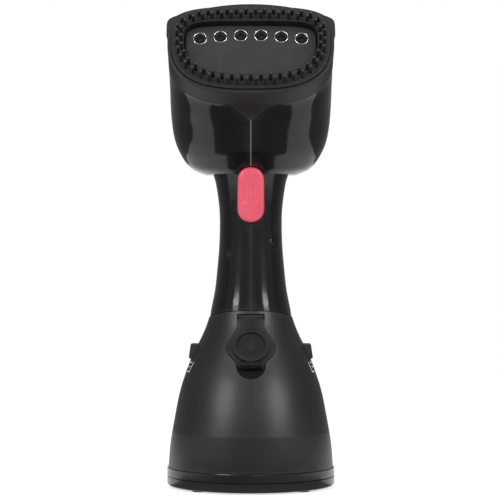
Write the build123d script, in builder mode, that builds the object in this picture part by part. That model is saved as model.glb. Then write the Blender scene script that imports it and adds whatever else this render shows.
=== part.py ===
from build123d import *
from math import sin, cos, tan, pi, radians, copysign, sqrt
import os

os.makedirs("parts", exist_ok=True)

# ---------------------------------------------------------------- driving dimensions (mm)
WALL = 2.4                 # moulded wall
GAP = 0.35                 # running gap between separate bodies
# base and tank
BASE_R = 51.0              # gloss foot ring radius
RING_Z0, RING_Z1 = 6.6, 12.2
FOOT_H = 0.8
SEAM_TILT = 10.0           # tank / handle joint, front higher
SEAM_Y, SEAM_Z = 7.0, 102.9
THROAT_Y, THROAT_R = 8.0, 14.6
# rows: height, half width, front y, back y
TANK = [
    (12.3, 50.2, -50.2, 50.2), (22.0, 49.5, -49.6, 49.7), (33.9, 47.9, -48.1, 48.7),
    (46.1, 45.7, -45.7, 47.2), (58.4, 43.1, -41.8, 45.0), (67.5, 40.3, -37.8, 43.2),
    (77.0, 36.8, -32.3, 41.3), (89.0, 31.0, -25.3, 39.4), (98.0, 27.1, -20.6, 38.0),
    (104.0, 25.2, -18.4, 36.8), (113.0, 23.4, -17.1, 35.5),
]
HANDLE = [
    (92.0, 27.6, -19.6, 38.3), (104.0, 25.0, -18.3, 36.6), (113.3, 23.3, -17.0, 35.4),
    (122.0, 21.8, -15.8, 34.4), (131.7, 20.8, -14.7, 33.4), (143.9, 19.7, -13.5, 32.6),
    (156.1, 19.2, -12.6, 32.3), (168.3, 19.4, -12.1, 32.8), (180.6, 20.9, -12.3, 34.4),
    (186.7, 22.1, -12.8, 35.8), (191.0, 23.6, -13.6, 36.6), (197.0, 25.0, -14.0, 36.8),
]
# steam head: face plane, and a fan of sections about an axis in front of and below the head
FACE_Y, FACE_Z = -49.5, 263.6
NY, NZ = -0.899, 0.438
SKIRT_DEPTH = 16.0
FAN_Y, FAN_Z = -67.6, 190.0
# rows: fan angle, half width, near radius, far radius, widest radius, near power, far power
HEAD = [
    (0.0, 28.0, 53.6, 104.6, 79.0, 2.25, 2.25), (1.6, 33.4, 51.9, 106.4, 79.0, 2.25, 2.25),
    (3.4, 37.2, 50.1, 108.3, 79.0, 2.3, 2.3), (5.6, 40.0, 48.2, 110.2, 79.0, 2.3, 2.3),
    (9.0, 42.8, 45.8, 112.6, 79.0, 2.35, 2.35), (14.0, 45.7, 42.9, 115.2, 79.2, 2.4, 2.4),
    (21.0, 47.8, 40.4, 117.2, 79.4, 2.45, 2.5), (30.0, 48.8, 39.0, 117.5, 79.6, 2.5, 2.65),
    (41.0, 49.1, 38.9, 114.8, 79.8, 2.6, 2.9), (52.0, 49.15, 40.4, 109.4, 80.0, 2.7, 3.2),
    (64.0, 49.15, 43.1, 102.5, 80.1, 2.75, 3.45),
]
# trigger
TRIG_W, TRIG_Z0, TRIG_Z1, TRIG_FRONT = 16.2, 160.6, 194.0, -19.6
TRIG_TRAVEL = 2.6
# fill cap
CAP_Y, CAP_Z, CAP_TILT = -27.0, 86.5, 33.0
CAP_RING_R, CAP_DISH_R, FILL_R = 11.25, 8.85, 8.9
ROLL_Y, ROLL_Z = -17.6, 103.4   # hinge roll at the cap strap's root
# bristles
PEG_PITCH, PEG_R, PEG_TIP_R, PEG_LEN = 4.7, 0.9, 1.3, 8.0
CORD_BORE_R = 3.6

FACE = Plane(origin=(0, FACE_Y, FACE_Z), x_dir=(1, 0, 0), z_dir=(0, NY, NZ))
SEAM = Plane(
    origin=(0, SEAM_Y, SEAM_Z), x_dir=(1, 0, 0),
    z_dir=(0, sin(radians(SEAM_TILT)), cos(radians(SEAM_TILT))),
)
CAPP = Plane(
    origin=(0, CAP_Y, CAP_Z), x_dir=(1, 0, 0),
    z_dir=(0, -cos(radians(CAP_TILT)), sin(radians(CAP_TILT))),
)


def face_pt(u, v, s):
    """Point from face coordinates: u across, v up the face, s behind the face."""
    return (u, FACE_Y - NY * s + NZ * v, FACE_Z - NZ * s - NY * v)


def oval(a, lo, hi, mid, n_lo, n_hi, count=32):
    """Closed rounded outline: half width a at mid, from lo to hi."""
    pts = []
    for i in range(count):
        t = 2 * pi * i / count
        c, s = cos(t), sin(t)
        n = n_hi if s >= 0 else n_lo
        d = (hi - mid) if s >= 0 else (mid - lo)
        x = a * copysign(abs(c) ** (2 / n), c) if abs(c) > 1e-9 else 0.0
        y = mid + (d * copysign(abs(s) ** (2 / n), s) if abs(s) > 1e-9 else 0.0)
        pts.append((x, y))
    return pts


def dee(inset):
    """The head's outline in the face plane, drawn in by inset."""
    return oval(49.15 - inset, -31.0 + inset, 28.4 - inset, 6.0, 2.75, 3.45)


def stack(rows, off, n=2.25):
    """Horizontal sections of a table, grown by off."""
    out = []
    for z, a, f, b in rows:
        m = (f + b) / 2
        out.append((Plane.XY.offset(z), oval(a + off, f - off, b + off, m, n, n)))
    return out


def fan(off, first=0.0, beyond=False):
    """Head sections, each in a plane turned about the fan axis, grown by off."""
    out = []
    rows = HEAD + ([(68.0, 49.15, 44.6, 99.6, 80.1, 2.75, 3.45)] if beyond else [])
    for ang, a, lo, hi, mid, nl, nh in rows:
        if ang < first - 1e-6:
            continue
        r = radians(ang)
        pl = Plane(origin=(0, FAN_Y, FAN_Z), x_dir=(1, 0, 0), z_dir=(0, -sin(r), cos(r)))
        out.append((pl, oval(a + off, lo - off, hi + off, mid, nl, nh)))
    return out


def plate_outline(grow, depth):
    """Sketch of the steam plate's outline, grown, at a depth behind the face."""
    with BuildSketch(FACE.offset(-depth)) as sk:
        with BuildLine():
            Spline(*oval(38.9 + grow, -18.2 - grow, 16.9 + grow, 4.0, 2.6, 4.6, count=48), periodic=True)
        make_face()
    return sk


# ================================================================ TANK
tank_n = 2.12

with BuildPart() as tank_outer:
    for pl, pts in stack(TANK, 0, tank_n):
        with BuildSketch(pl):
            with BuildLine():
                Spline(*pts, periodic=True)
            make_face()
    loft()

with BuildPart() as tank_inner:
    for pl, pts in stack([(12.2,) + TANK[0][1:]] + TANK[1:], -WALL, tank_n):
        with BuildSketch(pl):
            with BuildLine():
                Spline(*pts, periodic=True)
            make_face()
    loft()

with BuildPart() as tank_seat:          # surface the cap's panel lies on
    for pl, pts in stack(TANK, -1.9, tank_n):
        with BuildSketch(pl):
            with BuildLine():
                Spline(*pts, periodic=True)
            make_face()
    loft()

with BuildPart() as tank_proud:         # outer face of the cap's panel
    for pl, pts in stack(TANK, 0.7, tank_n):
        with BuildSketch(pl):
            with BuildLine():
                Spline(*pts, periodic=True)
            make_face()
    loft()


def cap_outline(grow, lift):
    with BuildSketch(CAPP.offset(lift)) as sk:
        with BuildLine():
            Polyline(
                (-7.8, 18.4), (7.8, 18.4), (7.8, 13.2), (14.5, 2.0), (13.4, -4.4), (8.8, -10.2),
                (8.2, -14.2), (-8.2, -14.2), (-8.8, -10.2), (-13.4, -4.4), (-14.5, 2.0),
                (-7.8, 13.2), close=True,
            )
        make_face()
        fillet(sk.vertices().filter_by_position(Axis.Y, -200, 200).sort_by(Axis.Z)[:-2], 2.2)
        if grow:
            offset(amount=grow, kind=Kind.ARC)
    return sk


SCOOP = (0, -38.4, 78.3)

with BuildPart() as tank_shell:
    add(tank_outer.part)
    # main hollow, stopping below the deck
    with BuildPart(mode=Mode.PRIVATE) as hollow:
        add(tank_inner.part)
        split(bisect_by=SEAM.offset(-3.0), keep=Keep.BOTTOM)
        # wall behind the fill cap and finger scoop
        extrude(cap_outline(2.6, -6.5).sketch, amount=30, mode=Mode.SUBTRACT)
        with Locations(SCOOP):
            Sphere(13.4, mode=Mode.SUBTRACT)
        # latch towers
        with Locations((23.0, 5.5, 92.0), (-23.0, 5.5, 92.0)):
            Box(17.0, 20.2, 35.2, mode=Mode.SUBTRACT)
        # throat
        with Locations((0, THROAT_Y, 96.0)):
            Cylinder(THROAT_R + 2.0, 17.0, mode=Mode.SUBTRACT)
    add(hollow.part, mode=Mode.SUBTRACT)
    split(bisect_by=SEAM.offset(-0.15), keep=Keep.BOTTOM)
    with Locations((0, THROAT_Y, 98.0)):
        Cylinder(THROAT_R, 40.0, mode=Mode.SUBTRACT)
    # seat for the cap, fill hole and scoop
    with BuildPart(mode=Mode.PRIVATE) as seat:
        extrude(cap_outline(0.35, -12.0).sketch, amount=24)
        add(tank_seat.part, mode=Mode.SUBTRACT)
    add(seat.part, mode=Mode.SUBTRACT)
    with BuildSketch(CAPP.offset(-20.0)):
        Circle(FILL_R)
    extrude(amount=30, mode=Mode.SUBTRACT)
    with Locations(SCOOP):
        Sphere(11.0, mode=Mode.SUBTRACT)
    # groove for the cap's hinge roll
    with BuildSketch(Plane(origin=(0, ROLL_Y, ROLL_Z), x_dir=(0, 1, 0), z_dir=(1, 0, 0))):
        Circle(2.1)
    extrude(amount=8.3, both=True, mode=Mode.SUBTRACT)
    # side latch pockets
    for sx in (1, -1):
        with Locations((sx * 40.8, 5.5, 81.75)):
            Box(30.0, 15.8, 10.3, mode=Mode.SUBTRACT)
        with Locations((sx * 21.0, 5.5, 84.65)):
            Box(10.4, 11.8, 4.5, mode=Mode.SUBTRACT)
        with Locations((sx * 19.6, 5.5, 97.0)):
            Box(7.4, 11.8, 22.0, mode=Mode.SUBTRACT)
tank_shell.part.label = "tank_shell"

with BuildPart() as tank_ring:
    with BuildSketch(Plane.XZ) as sk:
        with BuildLine():
            Polyline(
                (48.3, RING_Z0), (BASE_R, RING_Z0), (BASE_R, RING_Z1), (48.3, RING_Z1), (48.3, RING_Z0),
            )
        make_face()
        fillet(sk.vertices().group_by(Axis.X)[-1], 0.5)
    revolve(axis=Axis.Z)
tank_ring.part.label = "tank_ring"

with BuildPart() as tank_base:
    with BuildSketch(Plane.XZ) as sk:
        with BuildLine():
            Polyline(
                (0, 3.0), (38.0, 3.0), (38.0, FOOT_H + 0.2), (BASE_R - 1.2, FOOT_H + 0.2), (BASE_R, 2.2),
                (BASE_R, RING_Z0 - 0.12), (47.4, RING_Z0 - 0.12), (47.4, 17.5), (45.2, 17.5), (45.2, 5.4),
                (0, 5.4), (0, 3.0),
            )
        make_face()
    revolve(axis=Axis.Z)
    with BuildSketch(Plane.XY.offset(FOOT_H + 0.2)):
        with PolarLocations(44.0, 4, start_angle=45):
            Circle(4.1)
    extrude(amount=1.4, mode=Mode.SUBTRACT)
tank_base.part.label = "tank_base"

with BuildPart() as base_feet:
    with BuildSketch(Plane.XY):
        with PolarLocations(44.0, 4, start_angle=45):
            Circle(4.0)
    extrude(amount=2.2)
    chamfer(base_feet.faces().sort_by(Axis.Z)[:4].edges(), 0.4)
    # middle pad
    with BuildSketch(Plane.XY):
        Circle(5.0)
    extrude(amount=3.0)
base_feet.part.label = "base_feet"

# ================================================================ FILL CAP
with BuildPart() as fill_cap:
    extrude(cap_outline(0, -12.0).sketch, amount=24)
    add(tank_proud.part, mode=Mode.INTERSECT)
    # raised ring and pull lip
    with BuildSketch(CAPP.offset(-4.2)):
        Circle(CAP_RING_R)
    extrude(amount=5.5)
    with BuildSketch(Plane(origin=(0, -29.0, 76.4), x_dir=(1, 0, 0), z_dir=(0, -1, 0))):
        SlotOverall(15.0, 2.4)
    extrude(amount=6.6)
    with BuildPart(mode=Mode.PRIVATE) as under:
        for pl, pts in stack(TANK, -1.5, tank_n):
            with BuildSketch(pl):
                with BuildLine():
                    Spline(*pts, periodic=True)
                make_face()
        loft()
    add(under.part, mode=Mode.SUBTRACT)
    # hinge roll
    with BuildSketch(Plane(origin=(0, ROLL_Y, ROLL_Z), x_dir=(0, 1, 0), z_dir=(1, 0, 0))):
        Circle(1.6)
    extrude(amount=7.6, both=True)
    # dish and plug
    with BuildSketch(CAPP.offset(1.3)):
        Circle(CAP_DISH_R)
    extrude(amount=-1.1, mode=Mode.SUBTRACT)
    with BuildSketch(CAPP.offset(-0.9)):
        Circle(8.1)
    extrude(amount=-4.4, taper=5)
    # embossed drop in the dish
    with BuildSketch(CAPP.offset(0.1)):
        with BuildLine():
            Spline((0, 5.2), (2.0, 1.2), (2.9, -1.3), (0, -4.4), (-2.9, -1.3), (-2.0, 1.2), (0, 5.2))
        make_face()
    extrude(amount=0.6)
fill_cap.part.label = "fill_cap"

# ================================================================ SIDE LATCHES
def latch_solid(sx):
    with BuildPart() as lt:
        with BuildSketch(Plane.XZ.offset(-12.9)):
            with BuildLine():
                Polyline(
                    (sx * 28.6, 77.0), (sx * 36.4, 77.0), (sx * 37.9, 78.4), (sx * 36.7, 86.5),
                    (sx * 28.6, 86.5), (sx * 28.6, 77.0),
                )
            make_face()
        extrude(amount=14.8)
        fillet(lt.edges().filter_by(Axis.Y).sort_by(Axis.X, reverse=(sx < 0))[-3:], 0.8)
        with BuildSketch(Plane.XZ.offset(-10.9)):
            with BuildLine():
                Polyline(
                    (sx * 29.0, 83.0), (sx * 29.0, 86.4), (sx * 20.9, 86.4), (sx * 20.9, 97.0),
                    (sx * 19.6, 98.4), (sx * 18.5, 98.4), (sx * 18.5, 83.0), (sx * 29.0, 83.0),
                )
            make_face()
        extrude(amount=10.8)
    return lt


latch_right = latch_solid(1)
latch_right.part.label = "latch_right"
latch_left = latch_solid(-1)
latch_left.part.label = "latch_left"


def latch_spring_solid(sx):
    with BuildPart() as sp:
        with BuildLine() as coil:
            Helix(pitch=1.0, height=2.0, radius=1.9, center=(sx * 26.15, 5.5, 79.6), direction=(sx, 0, 0))
        with BuildSketch(Plane(origin=coil.line @ 0, z_dir=coil.line % 0)) as prof:
            Circle(0.22)
        sweep()
    return sp


latch_spring_right = latch_spring_solid(1)
latch_spring_right.part.label = "latch_spring_right"
latch_spring_left = latch_spring_solid(-1)
latch_spring_left.part.label = "latch_spring_left"

# ================================================================ HANDSET SHELL
with BuildPart() as handset_outer:
    for pl, pts in stack(HANDLE, 0):
        with BuildSketch(pl):
            with BuildLine():
                Spline(*pts, periodic=True)
            make_face()
    loft()
    with BuildPart(mode=Mode.PRIVATE) as head_outer:
        for pl, pts in fan(0):
            with BuildSketch(pl):
                with BuildLine():
                    Spline(*pts, periodic=True)
                make_face()
        loft()
    add(head_outer.part)
    split(bisect_by=SEAM.offset(0.15), keep=Keep.TOP)

with BuildPart() as handle_hollow:
    for pl, pts in stack([(88.0, 28.4, -21.0, 39.0)] + HANDLE[1:], -WALL):
        with BuildSketch(pl):
            with BuildLine():
                Spline(*pts, periodic=True)
            make_face()
    loft()

with BuildPart() as head_hollow:
    for pl, pts in fan(-WALL, first=3.0, beyond=True):
        with BuildSketch(pl):
            with BuildLine():
                Spline(*pts, periodic=True)
            make_face()
    loft()

BOSSES = [(27.5, 136.0), (26.5, 178.0), (33.0, 216.0), (7.0, 262.0), (-6.8, 149.0)]
TONGUE = Plane(origin=face_pt(0, -26.0, SKIRT_DEPTH), x_dir=(1, 0, 0), z_dir=(0, -NZ, NY))


def tongue_outline(grow):
    """The clip tongue below the brush, seen along the face."""
    with BuildSketch(TONGUE) as sk:
        with BuildLine():
            Polyline((-12.0, 2.0), (-12.0, -0.6), (-1.6, -9.6), (1.6, -9.6), (12.0, -0.6), (12.0, 2.0), close=True)
        make_face()
        fillet(sk.vertices().sort_by(Axis.Y, reverse=True)[:2], 1.5)
        if grow:
            offset(amount=grow, kind=Kind.ARC)
    return sk


with BuildPart() as handset_shell:
    add(handset_outer.part)
    add(head_hollow.part, mode=Mode.SUBTRACT)
    add(handle_hollow.part, mode=Mode.SUBTRACT)
    # screw bosses across the joint, running into the wall
    for lot, sections in (
        (BOSSES[:2] + BOSSES[4:], stack(HANDLE, -1.2)),
        (BOSSES[2:4], fan(-1.2, first=1.6)),
    ):
        with BuildPart(mode=Mode.PRIVATE) as bosses:
            for pl, pts in sections:
                with BuildSketch(pl):
                    with BuildLine():
                        Spline(*pts, periodic=True)
                    make_face()
            loft()
            with BuildPart(mode=Mode.PRIVATE) as rods:
                for by, bz in lot:
                    with BuildSketch(Plane(origin=(0, by, bz), x_dir=(0, 1, 0), z_dir=(1, 0, 0))):
                        Circle(3.4)
                    extrude(amount=60, both=True)
            add(rods.part, mode=Mode.INTERSECT)
        add(bosses.part)
    for by, bz in BOSSES:
        with BuildSketch(Plane(origin=(0, by, bz), x_dir=(0, 1, 0), z_dir=(1, 0, 0))):
            Circle(1.5)
        extrude(amount=11.5, both=True, mode=Mode.SUBTRACT)
        with BuildSketch(Plane(origin=(9.0, by, bz), x_dir=(0, 1, 0), z_dir=(1, 0, 0))):
            Circle(2.75)
        extrude(amount=60, mode=Mode.SUBTRACT)
    # trigger window
    with BuildSketch(Plane.XZ):
        with Locations((0, (TRIG_Z0 + TRIG_Z1) / 2)):
            SlotOverall(TRIG_Z1 - TRIG_Z0 + 2 * GAP, TRIG_W + 2 * GAP, rotation=90)
    extrude(amount=24, mode=Mode.SUBTRACT)
    # cord inlet
    with BuildSketch(Plane(origin=(0, 25.0, 114.0), x_dir=(1, 0, 0), z_dir=(0, 1, 0))):
        Circle(6.6)
    # inlet hole, rearwards
    extrude(amount=14, mode=Mode.SUBTRACT)
    # recess for the brush's clip tongue
    extrude(tongue_outline(GAP).sketch, amount=14, mode=Mode.SUBTRACT)

with BuildPart() as housing_right:
    add(handset_shell.part)
    split(bisect_by=Plane.YZ.offset(0.03), keep=Keep.TOP)
housing_right.part.label = "housing_right"

with BuildPart() as housing_left:
    add(handset_shell.part)
    split(bisect_by=Plane.YZ.offset(-0.03), keep=Keep.BOTTOM)
housing_left.part.label = "housing_left"

with BuildPart() as housing_screws:
    for by, bz in BOSSES:
        with BuildSketch(Plane(origin=(9.05, by, bz), x_dir=(0, 1, 0), z_dir=(1, 0, 0))):
            Circle(2.6)
        extrude(amount=2.0)
        with BuildSketch(Plane(origin=(9.05, by, bz), x_dir=(0, 1, 0), z_dir=(1, 0, 0))):
            Circle(1.4)
        extrude(amount=-17.0)
        with BuildSketch(Plane(origin=(11.05, by, bz), x_dir=(0, 1, 0), z_dir=(1, 0, 0))):
            RegularPolygon(1.3, 6)
        extrude(amount=-1.1, mode=Mode.SUBTRACT)
housing_screws.part.label = "housing_screws"

# ================================================================ NECK COLLAR
with BuildPart() as neck_collar:
    with BuildPart(mode=Mode.PRIVATE) as plug:
        for pl, pts in stack(HANDLE, -WALL - 0.35):
            with BuildSketch(pl):
                with BuildLine():
                    Spline(*pts, periodic=True)
                make_face()
        loft()
        split(bisect_by=SEAM.offset(3.4), keep=Keep.BOTTOM)
        split(bisect_by=SEAM.offset(0.2), keep=Keep.TOP)
    add(plug.part)
    with Locations((0, THROAT_Y, 94.0)):
        Cylinder(14.2, 17.0)
    with Locations((0, THROAT_Y, 95.5)):
        Cylinder(11.6, 18.0, mode=Mode.SUBTRACT)
    with Locations((0, THROAT_Y, 87.5)):
        Cylinder(4.6, 6.0)
    with Locations((0, THROAT_Y, 100.0)):
        Cylinder(3.1, 60.0, mode=Mode.SUBTRACT)
    with Locations((0, THROAT_Y + 0.4, 105.0)):
        Cylinder(4.9, 14.0, mode=Mode.SUBTRACT)
    # groove for the seal
    with BuildPart(mode=Mode.PRIVATE) as groove:
        Cylinder(15.5, 2.7)
        Cylinder(12.9, 3.0, mode=Mode.SUBTRACT)
    add(Pos(0, THROAT_Y, 92.0) * groove.part, mode=Mode.SUBTRACT)
    # tongues that hang beside the latches
    for sx in (1, -1):
        with Locations((sx * 22.1, 5.5, 97.6)):
            Box(1.6, 9.0, 13.0)
neck_collar.part.label = "neck_collar"

with BuildPart() as collar_seal:
    with Locations((0, THROAT_Y, 92.0)):
        Torus(13.75, 0.78)
collar_seal.part.label = "collar_seal"

with BuildPart() as suction_tube:
    with Locations((0, THROAT_Y, 63.0)):
        Cylinder(3.0, 86.0)
        Cylinder(2.0, 86.0, mode=Mode.SUBTRACT)
suction_tube.part.label = "suction_tube"

with BuildPart() as suction_filter:
    with Locations((0, THROAT_Y, 14.0)):
        Cylinder(5.6, 12.0)
        Cylinder(4.4, 9.6, mode=Mode.SUBTRACT)
    with Locations((0, THROAT_Y, 19.0)):
        Cylinder(3.06, 4.0, mode=Mode.SUBTRACT)
    with Locations((0, THROAT_Y, 13.6)):
        with PolarLocations(5.0, 6):
            Box(3.0, 1.4, 7.0, mode=Mode.SUBTRACT)
suction_filter.part.label = "suction_filter"

# ================================================================ PUMP, HOSES, SWITCH
with BuildPart() as pump:
    with Locations((0, 13.0, 142.0)):
        Cylinder(5.6, 46.0)
    with Locations((0, 13.0, 119.6)):
        Cylinder(2.6, 10.0)
    with Locations((0, 13.0, 167.0)):
        Cylinder(2.6, 8.0)
pump.part.label = "pump"

with BuildPart() as pump_coil:
    with Locations((0, 13.0, 140.0)):
        Cylinder(10.2, 26.0)
        Cylinder(5.65, 26.0, mode=Mode.SUBTRACT)
    chamfer(pump_coil.edges().filter_by(GeomType.CIRCLE).sort_by(SortBy.RADIUS)[-2:], 0.8)
pump_coil.part.label = "pump_coil"

with BuildPart() as pump_frame:
    with Locations((0, 13.0, 140.0)):
        Box(22.6, 14.0, 29.6)
        Box(20.6, 14.0, 26.2, mode=Mode.SUBTRACT)
    with Locations((0, 13.0, 140.0)):
        Cylinder(5.65, 40.0, mode=Mode.SUBTRACT)
pump_frame.part.label = "pump_frame"

with BuildPart() as pump_inlet_hose:
    with BuildLine() as run:
        Spline((0, THROAT_Y, 100.0), (0, 9.5, 107.5), (0, 13.0, 115.0), tangents=((0, 0, 1), (0, 0, 1)))
    with BuildSketch(Plane(origin=run.line @ 0, z_dir=run.line % 0)):
        Circle(4.2)
    sweep()
    with Locations((0, THROAT_Y, 102.0)):
        Cylinder(3.02, 8.2, mode=Mode.SUBTRACT)
    with Locations((0, 13.0, 116.0)):
        Cylinder(2.62, 8.0, mode=Mode.SUBTRACT)
pump_inlet_hose.part.label = "pump_inlet_hose"

HOSE_END = face_pt(0, -9.0, 40.0)
with BuildPart() as steam_hose:
    with BuildLine() as run2:
        Spline(
            (0, 13.0, 168.5), (0, 14.5, 200.0), (0, 7.0, 226.0), HOSE_END,
            tangents=((0, 0, 1), (0, NY, NZ)),
        )
    with BuildSketch(Plane(origin=run2.line @ 0, z_dir=run2.line % 0)):
        Circle(3.9)
    sweep()
    with Locations((0, 13.0, 167.5)):
        Cylinder(2.65, 8.0, mode=Mode.SUBTRACT)
    with BuildSketch(Plane(origin=HOSE_END, x_dir=(1, 0, 0), z_dir=(0, -NY, -NZ))):
        Circle(2.15)
    extrude(amount=3.0, mode=Mode.SUBTRACT)
steam_hose.part.label = "steam_hose"

with BuildPart() as switch_bracket:
    with Locations((0, 3.4, 175.0)):
        Box(26.0, 2.0, 28.0)
    with Locations((0, 0.6, 188.6)):
        Box(9.0, 4.0, 1.8)
    with Locations((0, 13.0, 167.0)):
        Cylinder(4.4, 12.0, mode=Mode.SUBTRACT)
switch_bracket.part.label = "switch_bracket"

with BuildPart() as microswitch:
    with Locations((0, -1.0, 179.6)):
        Box(6.4, 6.6, 15.4)
    with Locations((0, -4.7, 182.4)):
        Box(3.0, 1.0, 2.4)
microswitch.part.label = "microswitch"

with BuildPart() as trigger:
    with BuildSketch(Plane.XZ.offset(7.1)):
        with Locations((0, (TRIG_Z0 + TRIG_Z1) / 2)):
            SlotOverall(TRIG_Z1 - TRIG_Z0, TRIG_W, rotation=90)
    extrude(amount=-TRIG_FRONT - 7.1)
    fillet(trigger.faces().sort_by(Axis.Y)[0].edges(), 2.2)
    # retaining flange behind the housing wall
    with BuildSketch(Plane.XZ.offset(5.8)):
        with Locations((0, 174.6)):
            SlotOverall(34.0, 18.0, rotation=90)
    extrude(amount=1.35)
    # hollow back, push rib and spring post
    with BuildSketch(Plane.XZ.offset(5.7)):
        with Locations((0, 177.3)):
            SlotOverall(28.0, 10.6, rotation=90)
    extrude(amount=10.5, mode=Mode.SUBTRACT)
    with Locations((0, -12.4, 182.4)):
        Box(3.2, 8.6, 2.4)
    with Locations((0, -13.3, 167.4)):
        Cylinder(1.2, 6.4, rotation=(90, 0, 0))
    # raised steam mark on the front face
    with BuildSketch(Plane.XZ.offset(-TRIG_FRONT - 0.2)):
        for mx in (-2.4, 0, 2.4):
            with Locations((mx, 178.6)):
                SlotOverall(6.6, 0.9, rotation=90)
        with Locations((-2.1, 172.2)):
            SlotOverall(5.4, 0.9, rotation=-32)
        with Locations((2.1, 172.2)):
            SlotOverall(5.4, 0.9, rotation=32)
    extrude(amount=0.35)
trigger.part.label = "trigger"

with BuildPart() as trigger_spring:
    with BuildLine() as coil2:
        Helix(pitch=2.2, height=17.2, radius=1.9, center=(0, -15.5, 167.4), direction=(0, 1, 0))
    with BuildSketch(Plane(origin=coil2.line @ 0, z_dir=coil2.line % 0)):
        Circle(0.3)
    sweep()
trigger_spring.part.label = "trigger_spring"

# ================================================================ CORD INLET
with BuildPart() as cord_inlet:
    with BuildSketch(Plane(origin=(0, 27.5, 114.0), x_dir=(1, 0, 0), z_dir=(0, 1, 0))):
        Circle(6.5)
    extrude(amount=11.0)
    with BuildSketch(Plane(origin=(0, 36.7, 114.0), x_dir=(1, 0, 0), z_dir=(0, 1, 0))):
        Circle(8.0)
    extrude(amount=1.8)
    with BuildSketch(Plane(origin=(0, 27.6, 114.0), x_dir=(1, 0, 0), z_dir=(0, 1, 0))):
        Circle(7.8)
    extrude(amount=1.8)
    with BuildSketch(Plane(origin=(0, 26.0, 114.0), x_dir=(1, 0, 0), z_dir=(0, 1, 0))):
        Circle(CORD_BORE_R)
    extrude(amount=20.0, mode=Mode.SUBTRACT)
cord_inlet.part.label = "cord_inlet"

with BuildPart() as cord_clamp:
    with Locations((0, 21.6, 109.2)):
        Box(20.0, 4.6, 2.4)
    with Locations((0, 21.6, 119.0)):
        Box(20.0, 4.6, 2.4)
    with Locations((7.6, 21.6, 114.0), (-7.6, 21.6, 114.0)):
        Cylinder(1.35, 20.0, mode=Mode.SUBTRACT)
cord_clamp.part.label = "cord_clamp"

with BuildPart() as clamp_screws:
    for sx in (1, -1):
        with Locations((sx * 7.6, 21.6, 114.6)):
            Cylinder(1.3, 13.4)
        with Locations((sx * 7.6, 21.6, 121.3)):
            Cylinder(2.4, 1.8)
clamp_screws.part.label = "clamp_screws"

with BuildPart() as terminal_block:
    with Locations((0, -5.6, 117.5)):
        Box(22.0, 8.6, 11.0)
        with Locations((-7.0, 0, 0), (0, 0, 0), (7.0, 0, 0)):
            Cylinder(1.6, 12.0, mode=Mode.SUBTRACT)
            Cylinder(1.5, 12.0, rotation=(90, 0, 0), mode=Mode.SUBTRACT)
terminal_block.part.label = "terminal_block"

# ================================================================ STEAM HEAD INSIDES
with BuildPart() as head_bezel:
    with BuildSketch(FACE.offset(-SKIRT_DEPTH - 7.0)):
        with BuildLine():
            Spline(*dee(3.1), periodic=True)
        make_face()
    extrude(amount=SKIRT_DEPTH + 7.0 - 3.5)
    with BuildSketch(FACE.offset(-SKIRT_DEPTH - 7.1)):
        with BuildLine():
            Spline(*dee(5.3), periodic=True)
        make_face()
    extrude(amount=SKIRT_DEPTH + 7.1 - 7.0, mode=Mode.SUBTRACT)
    extrude(plate_outline(0.35, 9.0).sketch, amount=8.0, mode=Mode.SUBTRACT)
    with BuildPart(mode=Mode.PRIVATE) as tongue_slot:
        extrude(tongue_outline(0.8).sketch, amount=14)
    add(tongue_slot.part, mode=Mode.SUBTRACT)
head_bezel.part.label = "head_bezel"

COVER_SCREWS = [(-30.0, -9.6), (30.0, -9.6), (-14.0, -10.6), (14.0, -10.6)]
HOLES = [(-30.0, 7.7), (-18.0, 9.0), (-6.0, 9.9), (6.0, 9.9), (18.0, 9.0), (30.0, 7.7)]

with BuildPart() as steam_plate:
    extrude(plate_outline(0, 6.6).sketch, amount=2.6)
    fillet(steam_plate.faces().filter_by(GeomType.PLANE).sort_by(Axis.Y)[0].outer_wire().edges(), 0.8)
    with BuildSketch(FACE.offset(-6.7)):
        with Locations(*HOLES):
            Circle(1.85)
    extrude(amount=4, mode=Mode.SUBTRACT)
    for u, v in HOLES:
        with BuildPart(mode=Mode.PRIVATE) as sink:
            with BuildSketch(FACE.offset(-4.0)):
                with Locations((u, v)):
                    Circle(3.95)
            with BuildSketch(FACE.offset(-5.6)):
                with Locations((u, v)):
                    Circle(1.85)
            loft()
        add(sink.part, mode=Mode.SUBTRACT)
steam_plate.part.label = "steam_plate"

with BuildPart() as plate_gasket:
    extrude(plate_outline(-0.6, 7.7).sketch, amount=1.0)
    extrude(plate_outline(-4.2, 7.8).sketch, amount=1.4, mode=Mode.SUBTRACT)
plate_gasket.part.label = "plate_gasket"

with BuildPart() as boiler_cover:
    extrude(plate_outline(-0.6, 9.8).sketch, amount=2.0)
    with BuildSketch(FACE.offset(-9.9)):
        with Locations(*HOLES):
            Circle(1.6)
    extrude(amount=3, mode=Mode.SUBTRACT)
    for u, v in COVER_SCREWS:
        with BuildSketch(FACE.offset(-9.9)):
            with Locations((u, v)):
                Circle(1.5)
        extrude(amount=3, mode=Mode.SUBTRACT)
        with BuildSketch(FACE.offset(-8.9)):
            with Locations((u, v)):
                Circle(2.7)
        extrude(amount=3, mode=Mode.SUBTRACT)
boiler_cover.part.label = "boiler_cover"

with BuildPart() as boiler_screws:
    for u, v in COVER_SCREWS:
        with BuildSketch(FACE.offset(-8.85)):
            with Locations((u, v)):
                Circle(2.5)
        extrude(amount=0.95)
        with BuildSketch(FACE.offset(-18.0)):
            with Locations((u, v)):
                Circle(1.3)
        extrude(amount=9.2)
boiler_screws.part.label = "boiler_screws"

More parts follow.
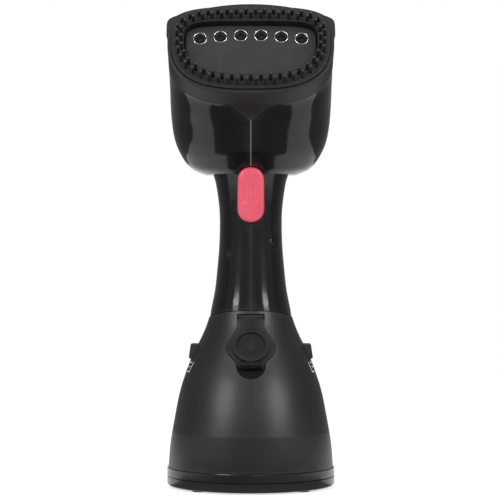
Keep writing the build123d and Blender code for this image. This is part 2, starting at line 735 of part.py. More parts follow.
with BuildPart() as boiler:
    with BuildSketch(FACE.offset(-34.0)):
        RectangleRounded(68.0, 28.0, 9.0)
    extrude(amount=24.0)
    with BuildSketch(FACE.offset(-17.0)):
        RectangleRounded(54.0, 14.0, 5.0)
    extrude(amount=8.0, mode=Mode.SUBTRACT)
    with BuildSketch(FACE.offset(-19.0)):
        with Locations(*COVER_SCREWS):
            Circle(1.32)
    extrude(amount=10.0, mode=Mode.SUBTRACT)
    # water inlet spigot
    with BuildSketch(FACE.offset(-42.6)):
        with Locations((0, -9.0)):
            Circle(2.1)
    extrude(amount=9.0)
    with BuildSketch(FACE.offset(-43.0)):
        with Locations((0, -9.0)):
            Circle(1.2)
    extrude(amount=27.0, mode=Mode.SUBTRACT)
    # channel for the heating element
    with BuildSketch(FACE.offset(-35.0)):
        with Locations((0, 5.4)):
            Rectangle(72.0, 6.8)
    extrude(amount=4.6, mode=Mode.SUBTRACT)
boiler.part.label = "boiler"

with BuildPart() as heating_element:
    with BuildSketch(Plane(origin=face_pt(-38.0, 5.4, 33.9), x_dir=(0, NZ, -NY), z_dir=(1, 0, 0))):
        Circle(3.3)
    extrude(amount=76.0)
    with BuildSketch(Plane(origin=face_pt(-41.5, 5.4, 33.9), x_dir=(0, NZ, -NY), z_dir=(1, 0, 0))):
        Circle(1.4)
    extrude(amount=83.0)
heating_element.part.label = "heating_element"

with BuildPart() as thermostat:
    with BuildSketch(FACE.offset(-40.4)):
        with Locations((-15.0, -6.2)):
            Circle(6.4)
    extrude(amount=6.3)
    with BuildSketch(FACE.offset(-46.0)):
        with Locations((-18.4, -6.2), (-11.6, -6.2)):
            Rectangle(0.9, 4.4)
    extrude(amount=6.0)
thermostat.part.label = "thermostat"

with BuildPart() as thermal_fuse:
    with BuildSketch(Plane(origin=face_pt(8.0, -6.0, 36.2), x_dir=(0, NZ, -NY), z_dir=(1, 0, 0))):
        Circle(2.0)
    extrude(amount=13.0)
thermal_fuse.part.label = "thermal_fuse"

# ================================================================ BRUSH ATTACHMENT
with BuildPart() as brush_skirt:
    with BuildSketch(FACE.offset(-SKIRT_DEPTH + 0.35)):
        with BuildLine():
            Spline(*dee(0.0), periodic=True)
        make_face()
    extrude(amount=SKIRT_DEPTH - 0.35 - 1.4)
    fillet(brush_skirt.faces().sort_by(Axis((0, 0, 0), (0, NY, NZ)))[-1].edges(), 0.9)
    with BuildSketch(FACE.offset(-SKIRT_DEPTH)):
        with BuildLine():
            Spline(*dee(2.1), periodic=True)
        make_face()
    extrude(amount=20, mode=Mode.SUBTRACT)
    # clip tongue, flush with the head
    with BuildPart(mode=Mode.PRIVATE) as tongue:
        extrude(tongue_outline(0).sketch, amount=14)
        add(head_outer.part, mode=Mode.INTERSECT)
        with BuildPart(mode=Mode.PRIVATE) as deep:
            for pl, pts in fan(-1.9, beyond=True):
                with BuildSketch(pl):
                    with BuildLine():
                        Spline(*pts, periodic=True)
                    make_face()
            loft()
        add(deep.part, mode=Mode.SUBTRACT)
    add(tongue.part)
    with BuildPart(mode=Mode.PRIVATE) as tongue_root:
        with BuildSketch(FACE.offset(-SKIRT_DEPTH - 0.8)):
            with BuildLine():
                Spline(*dee(0.3), periodic=True)
            make_face()
            with BuildLine():
                Spline(*dee(2.1), periodic=True)
            make_face(mode=Mode.SUBTRACT)
        extrude(amount=1.6)
        with BuildPart(mode=Mode.PRIVATE) as root_box:
            extrude(tongue_outline(-0.2).sketch, amount=14)
        add(root_box.part, mode=Mode.INTERSECT)
    add(tongue_root.part)
brush_skirt.part.label = "brush_skirt"

with BuildPart() as brush_ring:
    with BuildSketch(FACE.offset(-2.9)):
        with BuildLine():
            Spline(*dee(2.3), periodic=True)
        make_face()
    extrude(amount=2.9)
    fillet(brush_ring.faces().sort_by(Axis((0, 0, 0), (0, NY, NZ)))[-1].edges(), 0.6)
    extrude(plate_outline(0.5, 4.0).sketch, amount=6.0, mode=Mode.SUBTRACT)
brush_ring.part.label = "brush_ring"


def peg_points(inset, first):
    """Evenly spaced points round the head's outline, drawn in by inset."""
    ring = oval(49.15 - inset, -31.0 + inset, 28.4 - inset, 6.0, 2.75, 3.45, count=720)
    run, total = [0.0], 0.0
    for i in range(720):
        a, b = ring[i], ring[(i + 1) % 720]
        total += sqrt((b[0] - a[0]) ** 2 + (b[1] - a[1]) ** 2)
        run.append(total)
    count = int(total / PEG_PITCH)
    out, k = [], 0
    for j in range(count):
        want = (j + first) * total / count
        while run[k + 1] < want:
            k += 1
        out.append(ring[k % 720])
    return out


PEGS = peg_points(4.9, 0.25) + [
    p for p in peg_points(8.0, 0.75) if abs(p[0]) < 37.0
]

with BuildPart() as bristles:
    with Locations(*[FACE.location * Location((u, v, 0.02)) for u, v in PEGS]):
        Cylinder(PEG_R, PEG_LEN - PEG_TIP_R, align=(Align.CENTER, Align.CENTER, Align.MIN))
    with Locations(*[FACE.location * Location((u, v, PEG_LEN - PEG_TIP_R)) for u, v in PEGS]):
        Sphere(PEG_TIP_R)
bristles.part.label = "bristles"

for piece in (
    tank_shell, tank_ring, tank_base, base_feet, fill_cap, latch_right, latch_left, latch_spring_right,
    latch_spring_left, housing_right, housing_left, housing_screws, neck_collar, collar_seal, suction_tube,
    suction_filter, pump, pump_coil, pump_frame, pump_inlet_hose, steam_hose, switch_bracket, microswitch,
    trigger, trigger_spring, cord_inlet, cord_clamp, clamp_screws, terminal_block, head_bezel, steam_plate,
    plate_gasket, boiler_cover, boiler_screws, boiler, heating_element, thermostat, thermal_fuse, brush_skirt,
    brush_ring, bristles,
):
    export_step(piece.part, f"parts/{piece.part.label}.step")
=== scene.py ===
import bpy, bmesh, math
from math import sin, cos, pi, radians, sqrt, copysign
from mathutils import Vector, Matrix


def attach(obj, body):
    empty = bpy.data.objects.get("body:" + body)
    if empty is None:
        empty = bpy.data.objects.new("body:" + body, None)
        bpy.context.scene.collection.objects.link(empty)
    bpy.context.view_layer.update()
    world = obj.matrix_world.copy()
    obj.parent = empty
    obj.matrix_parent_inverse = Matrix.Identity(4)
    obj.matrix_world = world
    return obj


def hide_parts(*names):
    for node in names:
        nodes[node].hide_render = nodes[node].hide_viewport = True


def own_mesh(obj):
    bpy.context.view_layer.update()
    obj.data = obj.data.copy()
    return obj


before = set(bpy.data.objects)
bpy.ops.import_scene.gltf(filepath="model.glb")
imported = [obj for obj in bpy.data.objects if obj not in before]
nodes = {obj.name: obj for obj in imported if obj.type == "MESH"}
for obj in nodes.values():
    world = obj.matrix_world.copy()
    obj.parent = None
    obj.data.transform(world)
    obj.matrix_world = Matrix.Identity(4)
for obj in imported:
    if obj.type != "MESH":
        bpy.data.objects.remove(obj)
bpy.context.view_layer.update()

scene = bpy.context.scene
MM = 0.001

# ------------------------------------------------------------------ camera
cam_data = bpy.data.cameras.new("camera")
cam = bpy.data.objects.new("camera", cam_data)
scene.collection.objects.link(cam)
cam.location = (-0.0005, -1.25, 0.1439)
cam.rotation_euler = (radians(90), 0, 0)
cam_data.sensor_width = 36
cam_data.lens = 147.3
cam_data.clip_start = 0.01
cam_data.clip_end = 50
scene.camera = cam
scene.view_settings.view_transform = "Standard"
scene.view_settings.look = "None"
scene.view_settings.exposure = 0
scene.view_settings.gamma = 1


# ------------------------------------------------------------------ materials
def material(name):
    m = bpy.data.materials.new(name)
    m.use_nodes = True
    nt = m.node_tree
    nt.nodes.clear()
    out = nt.nodes.new("ShaderNodeOutputMaterial")
    bsdf = nt.nodes.new("ShaderNodeBsdfPrincipled")
    nt.links.new(bsdf.outputs[0], out.inputs[0])
    return m, nt, bsdf


def moulded(name, dark, light, rough_lo, rough_hi, grain=900.0, bump=0.05, blotch=35.0, coat=0.0,
            spec=0.5, seam_highlight=False, metallic=0.0, crease=None):
    """Moulded or cast surface: blotchy colour, fine grain in bump and roughness, sharp convex edges painted lighter as
    a painted highlight, and an optional parting line painted light grey as the highlight of its rounded edge, strongest
    above the chin.
    """
    m, nt, b = material(name)
    N, L = nt.nodes, nt.links
    tc = N.new("ShaderNodeTexCoord")
    big = N.new("ShaderNodeTexNoise"); big.inputs["Scale"].default_value = blotch
    big.inputs["Detail"].default_value = 5; big.inputs["Roughness"].default_value = 0.55
    L.new(tc.outputs["Object"], big.inputs["Vector"])
    fine = N.new("ShaderNodeTexNoise"); fine.inputs["Scale"].default_value = grain
    fine.inputs["Detail"].default_value = 3; fine.inputs["Roughness"].default_value = 0.6
    L.new(tc.outputs["Object"], fine.inputs["Vector"])
    ramp = N.new("ShaderNodeValToRGB")
    ramp.color_ramp.elements[0].position = 0.3; ramp.color_ramp.elements[0].color = (*dark, 1)
    ramp.color_ramp.elements[1].position = 0.72; ramp.color_ramp.elements[1].color = (*light, 1)
    L.new(big.outputs["Fac"], ramp.inputs["Fac"])
    colour = ramp.outputs["Color"]
    # Pointiness mask: sharp convex edges get a lighter colour, a painted highlight along the edges.
    geo = N.new("ShaderNodeNewGeometry")
    edge = N.new("ShaderNodeMapRange")
    edge.inputs["From Min"].default_value = 0.52; edge.inputs["From Max"].default_value = 0.62
    edge.inputs["To Min"].default_value = 0.0; edge.inputs["To Max"].default_value = 0.35
    L.new(geo.outputs["Pointiness"], edge.inputs["Value"])
    edge_highlight_paint = N.new("ShaderNodeMixRGB"); edge_highlight_paint.blend_type = "MIX"
    edge_highlight_paint.inputs["Color2"].default_value = (*[min(1.0, c * 2.2 + 0.02) for c in light], 1)
    L.new(edge.outputs["Result"], edge_highlight_paint.inputs["Fac"]); L.new(colour, edge_highlight_paint.inputs["Color1"])
    colour = edge_highlight_paint.outputs["Color"]
    if seam_highlight:
        # Parting line: colour lightened to grey within about 0.3 mm of x=0, a painted highlight of the seam's rounded
        # edge, full strength above z=0.19 m and faint below.
        sep = N.new("ShaderNodeSeparateXYZ"); L.new(tc.outputs["Object"], sep.inputs[0])
        ab = N.new("ShaderNodeMath"); ab.operation = "ABSOLUTE"; L.new(sep.outputs["X"], ab.inputs[0])
        near = N.new("ShaderNodeMapRange")
        near.inputs["From Min"].default_value = 0.00018; near.inputs["From Max"].default_value = 0.00034
        near.inputs["To Min"].default_value = 1.0; near.inputs["To Max"].default_value = 0.0
        L.new(ab.outputs[0], near.inputs["Value"])
        seam_highlight_by_height = N.new("ShaderNodeMapRange")
        seam_highlight_by_height.inputs["From Min"].default_value = 0.186; seam_highlight_by_height.inputs["From Max"].default_value = 0.196
        seam_highlight_by_height.inputs["To Min"].default_value = 0.10; seam_highlight_by_height.inputs["To Max"].default_value = 1.0
        L.new(sep.outputs["Z"], seam_highlight_by_height.inputs["Value"])
        seam_highlight_mask = N.new("ShaderNodeMath"); seam_highlight_mask.operation = "MULTIPLY"
        L.new(near.outputs["Result"], seam_highlight_mask.inputs[0]); L.new(seam_highlight_by_height.outputs["Result"], seam_highlight_mask.inputs[1])
        # Mix in the light grey of the painted seam highlight.
        line = N.new("ShaderNodeMixRGB"); line.inputs["Color2"].default_value = (0.16, 0.16, 0.165, 1)
        L.new(seam_highlight_mask.outputs[0], line.inputs["Fac"]); L.new(colour, line.inputs["Color1"])
        colour = line.outputs["Color"]
    L.new(colour, b.inputs["Base Color"])
    rr = N.new("ShaderNodeMapRange")
    rr.inputs["To Min"].default_value = rough_lo; rr.inputs["To Max"].default_value = rough_hi
    L.new(fine.outputs["Fac"], rr.inputs["Value"])
    L.new(rr.outputs["Result"], b.inputs["Roughness"])
    bp = N.new("ShaderNodeBump"); bp.inputs["Strength"].default_value = bump
    bp.inputs["Distance"].default_value = 0.0002
    L.new(fine.outputs["Fac"], bp.inputs["Height"])
    if crease:
        z_fold, tilt = crease
        sepz = N.new("ShaderNodeSeparateXYZ"); L.new(tc.outputs["Object"], sepz.inputs[0])
        fold = N.new("ShaderNodeMapRange")
        fold.inputs["From Min"].default_value = 0.0; fold.inputs["From Max"].default_value = z_fold
        fold.inputs["To Min"].default_value = 0.0; fold.inputs["To Max"].default_value = z_fold * tilt
        L.new(sepz.outputs["Z"], fold.inputs["Value"])
        lay = N.new("ShaderNodeBump"); lay.inputs["Strength"].default_value = 1.0
        lay.inputs["Distance"].default_value = 1.0
        L.new(fold.outputs["Result"], lay.inputs["Height"])
        L.new(lay.outputs["Normal"], bp.inputs["Normal"])
    L.new(bp.outputs["Normal"], b.inputs["Normal"])
    b.inputs["Metallic"].default_value = metallic
    b.inputs["Specular IOR Level"].default_value = spec
    b.inputs["Coat Weight"].default_value = coat
    b.inputs["Coat Roughness"].default_value = 0.06
    return m


def brushed(name, dark, light, rough_lo, rough_hi, stretch=(400.0, 12.0, 400.0), bump=0.04):
    """Bare metal with drawn or polished streaks."""
    m, nt, b = material(name)
    N, L = nt.nodes, nt.links
    tc = N.new("ShaderNodeTexCoord")
    mp = N.new("ShaderNodeMapping"); mp.inputs["Scale"].default_value = stretch
    L.new(tc.outputs["Object"], mp.inputs["Vector"])
    nz = N.new("ShaderNodeTexNoise"); nz.inputs["Scale"].default_value = 3.0; nz.inputs["Detail"].default_value = 6
    L.new(mp.outputs["Vector"], nz.inputs["Vector"])
    ramp = N.new("ShaderNodeValToRGB")
    ramp.color_ramp.elements[0].position = 0.3; ramp.color_ramp.elements[0].color = (*dark, 1)
    ramp.color_ramp.elements[1].position = 0.7; ramp.color_ramp.elements[1].color = (*light, 1)
    L.new(nz.outputs["Fac"], ramp.inputs["Fac"]); L.new(ramp.outputs["Color"], b.inputs["Base Color"])
    rr = N.new("ShaderNodeMapRange")
    rr.inputs["To Min"].default_value = rough_lo; rr.inputs["To Max"].default_value = rough_hi
    L.new(nz.outputs["Fac"], rr.inputs["Value"]); L.new(rr.outputs["Result"], b.inputs["Roughness"])
    bp = N.new("ShaderNodeBump"); bp.inputs["Strength"].default_value = bump
    bp.inputs["Distance"].default_value = 0.0002
    L.new(nz.outputs["Fac"], bp.inputs["Height"]); L.new(bp.outputs["Normal"], b.inputs["Normal"])
    b.inputs["Metallic"].default_value = 1.0
    return m


MATS = {
    "gloss_black": moulded("gloss_black", (0.0038, 0.0038, 0.0042), (0.0058, 0.0058, 0.0063), 0.09, 0.14,
                           grain=1400, bump=0.010, coat=0.08, spec=0.35, seam_highlight=True),
    "gloss_ring": moulded("gloss_ring", (0.0045, 0.0045, 0.0050), (0.0070, 0.0070, 0.0076), 0.16, 0.24,
                          grain=1300, bump=0.02, coat=0.10, spec=0.48),
    "satin_black": moulded("satin_black", (0.0085, 0.0086, 0.0092), (0.0125, 0.0127, 0.0134), 0.35, 0.45,
                           grain=1500, bump=0.30, blotch=28, spec=0.39, crease=(0.0335, 0.10)),
    "matte_black": moulded("matte_black", (0.0055, 0.0055, 0.0058), (0.0085, 0.0085, 0.0089), 0.46, 0.60,
                           grain=1900, bump=0.16, blotch=45, spec=0.34),
    "peg_black": moulded("peg_black", (0.0050, 0.0050, 0.0053), (0.0080, 0.0080, 0.0084), 0.34, 0.46,
                         grain=1500, bump=0.06, blotch=160, spec=0.42),
    "rubber_black": moulded("rubber_black", (0.0065, 0.0065, 0.0069), (0.0100, 0.0100, 0.0105), 0.42, 0.54,
                            grain=2200, bump=0.12, blotch=60, spec=0.20),
    "trigger_red": moulded("trigger_red", (0.500, 0.056, 0.092), (0.565, 0.071, 0.110), 0.34, 0.42,
                           grain=1500, bump=0.04, blotch=90),
    "plate_grey": moulded("plate_grey", (0.022, 0.022, 0.024), (0.032, 0.032, 0.034), 0.30, 0.40,
                          grain=1200, bump=0.06, blotch=120, metallic=0.35),
    "print_grey": moulded("print_grey", (0.50, 0.50, 0.50), (0.62, 0.62, 0.62), 0.45, 0.55, grain=1500, bump=0.03),
    "natural": moulded("natural", (0.55, 0.54, 0.50), (0.68, 0.67, 0.63), 0.40, 0.55, grain=700, bump=0.05),
    "red_rubber": moulded("red_rubber", (0.30, 0.05, 0.035), (0.40, 0.07, 0.05), 0.45, 0.6, grain=900, bump=0.08),
    "ceramic": moulded("ceramic", (0.62, 0.60, 0.52), (0.75, 0.73, 0.66), 0.5, 0.65, grain=900, bump=0.08),
    # near-black material for the insides of the steam holes: painted shade in the bores
    "bore_painted_shade": moulded("bore_painted_shade", (0.004, 0.004, 0.004), (0.008, 0.008, 0.008), 0.5, 0.65, grain=1200, bump=0.05,
                         spec=0.2),
    "chrome": brushed("chrome", (0.62, 0.62, 0.63), (0.86, 0.86, 0.87), 0.10, 0.20, stretch=(300, 300, 300)),
    "steel": brushed("steel", (0.35, 0.35, 0.36), (0.55, 0.55, 0.56), 0.28, 0.42),
    "cast": brushed("cast", (0.38, 0.38, 0.39), (0.52, 0.52, 0.53), 0.45, 0.6, stretch=(150, 150, 150), bump=0.25),
}

LOOK = {
    "tank_shell": "satin_black", "tank_ring": "gloss_ring", "tank_base": "gloss_ring", "base_feet": "rubber_black",
    "fill_cap": "rubber_black", "latch_right": "matte_black", "latch_left": "matte_black",
    "latch_spring_right": "steel", "latch_spring_left": "steel",
    "housing_right": "gloss_black", "housing_left": "gloss_black", "housing_screws": "steel",
    "neck_collar": "matte_black", "collar_seal": "rubber_black", "suction_tube": "natural",
    "suction_filter": "natural", "pump": "natural", "pump_coil": "matte_black", "pump_frame": "steel",
    "pump_inlet_hose": "natural", "steam_hose": "natural", "switch_bracket": "matte_black",
    "microswitch": "matte_black", "trigger": "trigger_red", "trigger_spring": "steel",
    "cord_inlet": "rubber_black", "cord_clamp": "matte_black", "clamp_screws": "steel",
    "terminal_block": "natural", "head_bezel": "matte_black", "steam_plate": "plate_grey",
    "plate_gasket": "red_rubber", "boiler_cover": "cast", "boiler_screws": "steel", "boiler": "cast",
    "heating_element": "steel", "thermostat": "steel", "thermal_fuse": "ceramic",
    "brush_skirt": "matte_black", "brush_ring": "matte_black", "bristles": "peg_black",
}
for name, o in nodes.items():
    m = MATS[LOOK[name]]
    if not o.material_slots:
        o.data.materials.append(m)
    for sl in o.material_slots:
        sl.material = m


# ------------------------------------------------------------------ helpers for added pieces
def make(name, bm, mat, body, smooth=True):
    me = bpy.data.meshes.new(name)
    bm.normal_update()
    bm.to_mesh(me)
    bm.free()
    for p in me.polygons:
        p.use_smooth = smooth
    o = bpy.data.objects.new(name, me)
    scene.collection.objects.link(o)
    o.data.materials.append(MATS[mat])
    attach(o, body)
    return o


FACE_O = Vector((0, -49.5, 263.6)) * MM
FN = Vector((0, -0.899, 0.438)).normalized()
FV = Vector((0, 0.438, 0.899)).normalized()
FU = Vector((1, 0, 0))


def face_pt(u, v, s):
    return FACE_O + FU * (u * MM) + FV * (v * MM) - FN * (s * MM)


def lathe(bm, centre, ax, side, up, profile, count=48):
    """Rings of (radius, height along ax) joined into a smooth skin."""
    rings = []
    for r, h in profile:
        ring = []
        for i in range(count):
            t = 2 * pi * i / count
            ring.append(bm.verts.new(centre + ax * (h * MM) + (side * cos(t) + up * sin(t)) * (r * MM)))
        rings.append(ring)
    for a, b in zip(rings, rings[1:]):
        for i in range(count):
            j = (i + 1) % count
            bm.faces.new((a[i], a[j], b[j], b[i]))


# polished rims in the steam plate's countersinks
HOLES = [(-30.0, 7.7), (-18.0, 9.0), (-6.0, 9.9), (6.0, 9.9), (18.0, 9.0), (30.0, 7.7)]
bm = bmesh.new()
for u, v in HOLES:
    lathe(bm, face_pt(u, v, 4.0), FN, FU, FV,
          [(4.04, 0.005), (4.00, 0.07), (3.86, 0.11), (3.68, 0.07), (3.60, -0.16), (3.52, -0.24)])
make("plate_rims", bm, "chrome", "handset")

# Near-black sleeves over the countersinks, each closed by a black disc at the bottom of its bore: painted shade inside
# the steam holes.
def hole_shade_sleeves():
    bm = bmesh.new()
    for u, v in HOLES:
        lathe(bm, face_pt(u, v, 4.0), FN, FU, FV,
              [(3.50, -0.27), (2.94, -0.69), (2.22, -1.25), (1.84, -1.55), (1.76, -1.80), (1.74, -2.6), (0.9, -2.7), (0.02, -2.7)], count=32)
    return make("plate_bores_painted_shade", bm, "bore_painted_shade", "handset")


hole_shade_sleeves()


# ------------------------------------------------------------------ brush detail
def oval(a, lo, hi, mid, n_lo, n_hi, count):
    pts = []
    for i in range(count):
        t = 2 * pi * i / count
        c, q = cos(t), sin(t)
        n = n_hi if q >= 0 else n_lo
        d = (hi - mid) if q >= 0 else (mid - lo)
        pts.append((a * copysign(abs(c) ** (2 / n), c), mid + d * copysign(abs(q) ** (2 / n), q)))
    return pts


def dee(inset, count=180):
    return oval(49.15 - inset, -31.0 + inset, 28.4 - inset, 6.0, 2.75, 3.45, count)


def peg_ring(inset, first, pitch=5.5):
    ring = dee(inset, 720)
    run, total = [0.0], 0.0
    for i in range(720):
        a, b = ring[i], ring[(i + 1) % 720]
        total += sqrt((b[0] - a[0]) ** 2 + (b[1] - a[1]) ** 2)
        run.append(total)
    count = int(total / pitch)
    out, k = [], 0
    for j in range(count):
        want = (j + first) * total / count
        while run[k + 1] < want:
            k += 1
        out.append(ring[k % 720])
    return out


def bristle_field():
    bm = bmesh.new()
    rows = [(p, 7.6 if p[1] < 10.0 else 5.4) for p in peg_ring(5.6, 0.25)]
    rows += [(p, 7.2 if p[1] < 10.0 else 6.4) for p in peg_ring(8.3, 0.75)]
    for (u, v), tall in rows:
        # each peg has a small root fillet and a rounded head
        root = face_pt(u, v, 0.05)
        r0, r1 = 0.98, 0.80
        lathe(bm, root, FN, FU, FV,
              [(r0 + 0.25, -0.30), (r0 + 0.22, 0.02), (r0, 0.35), (r1, tall - 2.2), (r1 + 0.18, tall - 1.5), (r1 + 0.24, tall - 0.9),
               (r1 + 0.10, tall - 0.35), (0.50, tall - 0.06), (0.04, tall)], count=14)
    bmesh.ops.recalc_face_normals(bm, faces=bm.faces)
    o = make("bristle_pegs", bm, "peg_black", "brush")
    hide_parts("bristles")


bristle_field()


def skirt_lip():
    """Flared lip round the brush skirt, with the skirt's two drawn-out upper corners."""
    n = 240
    inner = dee(1.0, n)
    wall = dee(0.12, n)
    out = []
    for i in range(n):
        u, v = wall[i]
        du, dv = u, v - 6.0
        r = sqrt(du * du + dv * dv)
        c, q = du / r, dv / r
        far = r
        if q > 0.02:
            side = 49.7 / max(abs(c), 1e-6)
            lo, hi = 0.0, 90.0
            for _ in range(40):
                m = (lo + hi) / 2
                if 6.0 + m * q < 30.3 - 10.2 * (m * c / 49.6) ** 2:
                    lo = m
                else:
                    hi = m
            arch = lo
            near = (side ** -26 + arch ** -26) ** (-1 / 26)
            far = max(r, near)
        out.append((6.0, c, q, r, far))
    bm = bmesh.new()
    rings = []

    def ring(fn, s):
        rr = []
        for k in range(n):
            mid, c, q, r, far = out[k]
            d = fn(r, far)
            rr.append(bm.verts.new(face_pt(c * d, mid + q * d, s)))
        rings.append(rr)

    rings.append([bm.verts.new(face_pt(u, v, 1.62)) for u, v in inner])
    ring(lambda r, f: max(r - 0.35, f - 0.75), 1.50)
    ring(lambda r, f: max(r - 0.05, f - 0.25), 1.62)
    ring(lambda r, f: f + 0.12, 2.05)
    ring(lambda r, f: f + 0.12, 2.75)
    ring(lambda r, f: r + 0.02 + (f - r) * 0.80, 4.2)
    ring(lambda r, f: r - 0.02 + (f - r) * 0.38, 7.2)
    ring(lambda r, f: r - 0.20 + (f - r) * 0.05, 10.5)
    for a, b in zip(rings, rings[1:]):
        for i in range(n):
            j = (i + 1) % n
            bm.faces.new((a[i], a[j], b[j], b[i]))
    bmesh.ops.recalc_face_normals(bm, faces=bm.faces)
    make("skirt_lip", bm, "matte_black", "brush")


skirt_lip()


def screw_plug(y, z, radius):
    """A plug over one housing screw: its face follows the other half's mirrored skin."""
    o = nodes["housing_left"]
    bm = bmesh.new()
    rings = []
    for k in range(7):
        rr = []
        rad = radius * k / 6
        for i in range(40):
            t = 2 * pi * i / 40
            yy, zz = y + rad * cos(t), z + rad * sin(t)
            hit, loc, nrm, idx = o.ray_cast(Vector((-0.09, yy * MM, zz * MM)), Vector((1, 0, 0)))
            if not hit:
                bm.free()
                return
            x = -loc.x - 0.00004 - (0.00012 if k == 6 else 0.0)
            rr.append(bm.verts.new((x, yy * MM, zz * MM)))
        rings.append(rr)
    back = []
    for vtx in rings[-1]:
        back.append(bm.verts.new((vtx.co.x - 0.0012, vtx.co.y, vtx.co.z)))
    rings.append(back)
    for a, b in zip(rings, rings[1:]):
        for i in range(40):
            j = (i + 1) % 40
            try:
                bm.faces.new((a[i], a[j], b[j], b[i]))
            except ValueError:
                pass
    bmesh.ops.remove_doubles(bm, verts=rings[0], dist=0.00002)
    bmesh.ops.recalc_face_normals(bm, faces=bm.faces)
    make("screw_plug", bm, "gloss_black", "handset")


screw_plug(-6.8, 149.0, 2.35)

# ------------------------------------------------------------------ coil springs, built as fixed helices in place of the imported springs
def coil_spring(name, body, slot_name, start, axis, length, radius, wire, turns, sides=8, per_turn=28):
    ax = Vector(axis).normalized()
    side = Vector((0, 0, 1)) if abs(ax.z) < 0.9 else Vector((1, 0, 0))
    side = (side - ax * side.dot(ax)).normalized()
    up = ax.cross(side)
    start = Vector(start) * MM
    bm = bmesh.new()
    n = int(turns * per_turn)
    prev = first = None
    for i in range(n + 1):
        f = i / n
        t = 2 * pi * turns * f
        rise = f
        rad = side * cos(t) + up * sin(t)
        tan = (-side * sin(t) + up * cos(t)) * radius * 2 * pi * turns + ax * length
        tan.normalize()
        bin_ = tan.cross(rad).normalized()
        c = start + ax * (length * rise * MM) + rad * (radius * MM)
        ring = []
        for k in range(sides):
            a = 2 * pi * k / sides
            ring.append(bm.verts.new(c + (rad * cos(a) + bin_ * sin(a)) * (wire * MM)))
        if prev:
            for k in range(sides):
                j = (k + 1) % sides
                bm.faces.new((prev[k], prev[j], ring[j], ring[k]))
        else:
            first = ring
        prev = ring
    bm.faces.new(list(reversed(first)))
    bm.faces.new(prev)
    bmesh.ops.recalc_face_normals(bm, faces=bm.faces)
    o = make(name, bm, "steel", body)
    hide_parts(slot_name)
    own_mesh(o)
    return o


coil_spring("trigger_coil", "handset", "trigger_spring", (0, -15.45, 167.4), (0, 1, 0), 17.1, 1.9, 0.3, 7.8)
coil_spring("latch_coil_right", "tank", "latch_spring_right", (26.2, 5.5, 79.6), (1, 0, 0), 1.9, 1.9, 0.22, 2.0)
coil_spring("latch_coil_left", "tank", "latch_spring_left", (-26.2, 5.5, 79.6), (-1, 0, 0), 1.9, 1.9, 0.22, 2.0)

# release marks below the latches: an arrow and a bar printed on the tank's side wall
def on_tank_side(sx, y, z):
    o = nodes["tank_shell"]
    hit, loc, nrm, idx = o.ray_cast(Vector((sx * 0.09, y * MM, z * MM)), Vector((-sx, 0, 0)))
    return (loc, nrm) if hit else (None, None)


def stroke(bm, sx, pts, width, lift=0.00013, step=0.4):
    line = []
    for (y0, z0), (y1, z1) in zip(pts, pts[1:]):
        n = max(1, int(sqrt((y1 - y0) ** 2 + (z1 - z0) ** 2) / step))
        line += [(y0 + (y1 - y0) * i / n, z0 + (z1 - z0) * i / n) for i in range(n)]
    line.append(pts[-1])
    rows = []
    for k, (y, z) in enumerate(line):
        a, b = line[max(k - 1, 0)], line[min(k + 1, len(line) - 1)]
        dy, dz = b[0] - a[0], b[1] - a[1]
        ln = sqrt(dy * dy + dz * dz) or 1.0
        row = []
        for sgn in (-1, 1):
            loc, nrm = on_tank_side(sx, y - sgn * dz / ln * width / 2, z + sgn * dy / ln * width / 2)
            if loc is None:
                return
            row.append(bm.verts.new(loc + Vector((sx, 0, 0)) * lift + nrm * lift))
        rows.append(row)
    for a, b in zip(rows, rows[1:]):
        bm.faces.new((a[0], a[1], b[1], b[0]) if sx > 0 else (b[0], b[1], a[1], a[0]))


for sx, tag in ((1, "right"), (-1, "left")):
    bm = bmesh.new()
    stroke(bm, sx, [(-11.5, 75.8), (-11.5, 70.2), (-7.0, 70.2)], 0.7)
    stroke(bm, sx, [(-8.6, 75.6), (-3.4, 75.6)], 0.6)
    stroke(bm, sx, [(-8.6, 73.0), (-2.0, 73.0)], 0.6)
    stroke(bm, sx, [(-3.6, 74.6), (-2.0, 73.0), (-3.6, 71.4)], 0.6)
    if len(bm.faces):
        make(f"latch_mark_{tag}", bm, "print_grey", "tank", smooth=False)
    else:
        bm.free()

# ------------------------------------------------------------------ studio
def stage_mat(name, colour, glow):
    m, nt, b = material(name)
    N, L = nt.nodes, nt.links
    tc = N.new("ShaderNodeTexCoord")
    nz = N.new("ShaderNodeTexNoise"); nz.inputs["Scale"].default_value = 2.0
    L.new(tc.outputs["Object"], nz.inputs["Vector"])
    mr = N.new("ShaderNodeMapRange"); mr.inputs["To Min"].default_value = 0.85; mr.inputs["To Max"].default_value = 0.95
    L.new(nz.outputs["Fac"], mr.inputs["Value"]); L.new(mr.outputs["Result"], b.inputs["Roughness"])
    b.inputs["Base Color"].default_value = (*colour, 1)
    b.inputs["Specular IOR Level"].default_value = 0.1
    b.inputs["Emission Color"].default_value = (1, 1, 1, 1)
    b.inputs["Emission Strength"].default_value = glow
    return m


def sweep_stage():
    bm = bmesh.new()
    prof = [(-3.0, 0.0), (1.2, 0.0)]
    for i in range(1, 13):
        t = pi / 2 * i / 12
        prof.append((1.2 + 0.8 * sin(t), 0.8 - 0.8 * cos(t)))
    prof.append((2.0, 3.2))
    rows = [[bm.verts.new((x, y, z)) for x in (-3.2, 3.2)] for y, z in prof]
    for a, b in zip(rows, rows[1:]):
        bm.faces.new((a[0], a[1], b[1], b[0]))
    me = bpy.data.meshes.new("studio_floor")
    bm.to_mesh(me); bm.free()
    for p in me.polygons:
        p.use_smooth = True
    o = bpy.data.objects.new("studio_floor", me)
    scene.collection.objects.link(o)
    me.materials.append(stage_mat("studio_white", (0.45, 0.45, 0.45), 0.66))


sweep_stage()


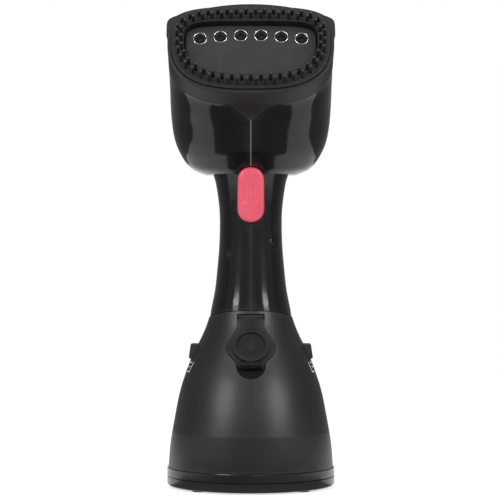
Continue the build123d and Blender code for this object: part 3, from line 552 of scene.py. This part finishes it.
def studio_wall():
    """A pale wall round the front and sides, so that every view has a plain backdrop; only the camera sees it."""
    bm = bmesh.new()
    rows = []
    for i in range(73):
        t = radians(160 + 220 * i / 72)
        rows.append([bm.verts.new((2.9 * cos(t), 2.9 * sin(t), z)) for z in (0.0, 0.8, 1.6, 2.4, 3.2)])
    for a, b in zip(rows, rows[1:]):
        for k in range(4):
            bm.faces.new((a[k], b[k], b[k + 1], a[k + 1]))
    me = bpy.data.meshes.new("studio_wall")
    bm.to_mesh(me); bm.free()
    for p in me.polygons:
        p.use_smooth = True
    o = bpy.data.objects.new("studio_wall", me)
    scene.collection.objects.link(o)
    me.materials.append(stage_mat("studio_wall_white", (0.45, 0.45, 0.45), 0.85))
    o.visible_diffuse = False
    o.visible_glossy = False
    o.visible_transmission = False
    o.visible_shadow = False


studio_wall()


def dark_card(name, corners, glow):
    """A black studio card: it only darkens what the gloss reflects."""
    bm = bmesh.new()
    bm.faces.new([bm.verts.new(c) for c in corners])
    bmesh.ops.subdivide_edges(bm, edges=bm.edges[:], cuts=3, use_grid_fill=True)
    me = bpy.data.meshes.new(name)
    bm.to_mesh(me); bm.free()
    o = bpy.data.objects.new(name, me)
    scene.collection.objects.link(o)
    me.materials.append(stage_mat(name + "_cloth", (0.02, 0.02, 0.02), glow))
    o.visible_camera = False
    o.visible_diffuse = False
    o.visible_shadow = False
    o.visible_transmission = False


dark_card("card_front", [(-0.100, -0.010, 0.0015), (-0.62, -1.6, 0.0015), (0.62, -1.6, 0.0015), (0.100, -0.010, 0.0015)], 0.14)
for sx, tag in ((1, "right"), (-1, "left")):
    dark_card(f"card_{tag}", [(sx * 0.30, -0.06, 0.0), (sx * 0.30, 1.3, 0.0), (sx * 0.30, 1.3, 0.75), (sx * 0.30, -0.06, 0.75)], 0.17)


def area(name, loc, target, sx, sy, watts, colour=(1, 1, 1)):
    d = bpy.data.lights.new(name, "AREA")
    d.shape = "RECTANGLE"; d.size = sx; d.size_y = sy; d.energy = watts; d.color = colour
    o = bpy.data.objects.new(name, d)
    scene.collection.objects.link(o)
    o.location = loc
    o.rotation_euler = (Vector(target) - Vector(loc)).to_track_quat("-Z", "Y").to_euler()
    return o


area("box_left", (-0.80, -0.92, 0.80), (0, 0, 0.17), 0.42, 0.72, 11.5)
area("box_right", (0.80, -0.92, 0.80), (0, 0, 0.17), 0.42, 0.72, 11.5)
area("top", (0, -0.15, 1.5), (0, 0, 0.1), 1.1, 0.8, 4.5)
world = bpy.data.worlds.new("world")
scene.world = world
world.use_nodes = True
world.node_tree.nodes["Background"].inputs[0].default_value = (1, 1, 1, 1)
world.node_tree.nodes["Background"].inputs[1].default_value = 0.36
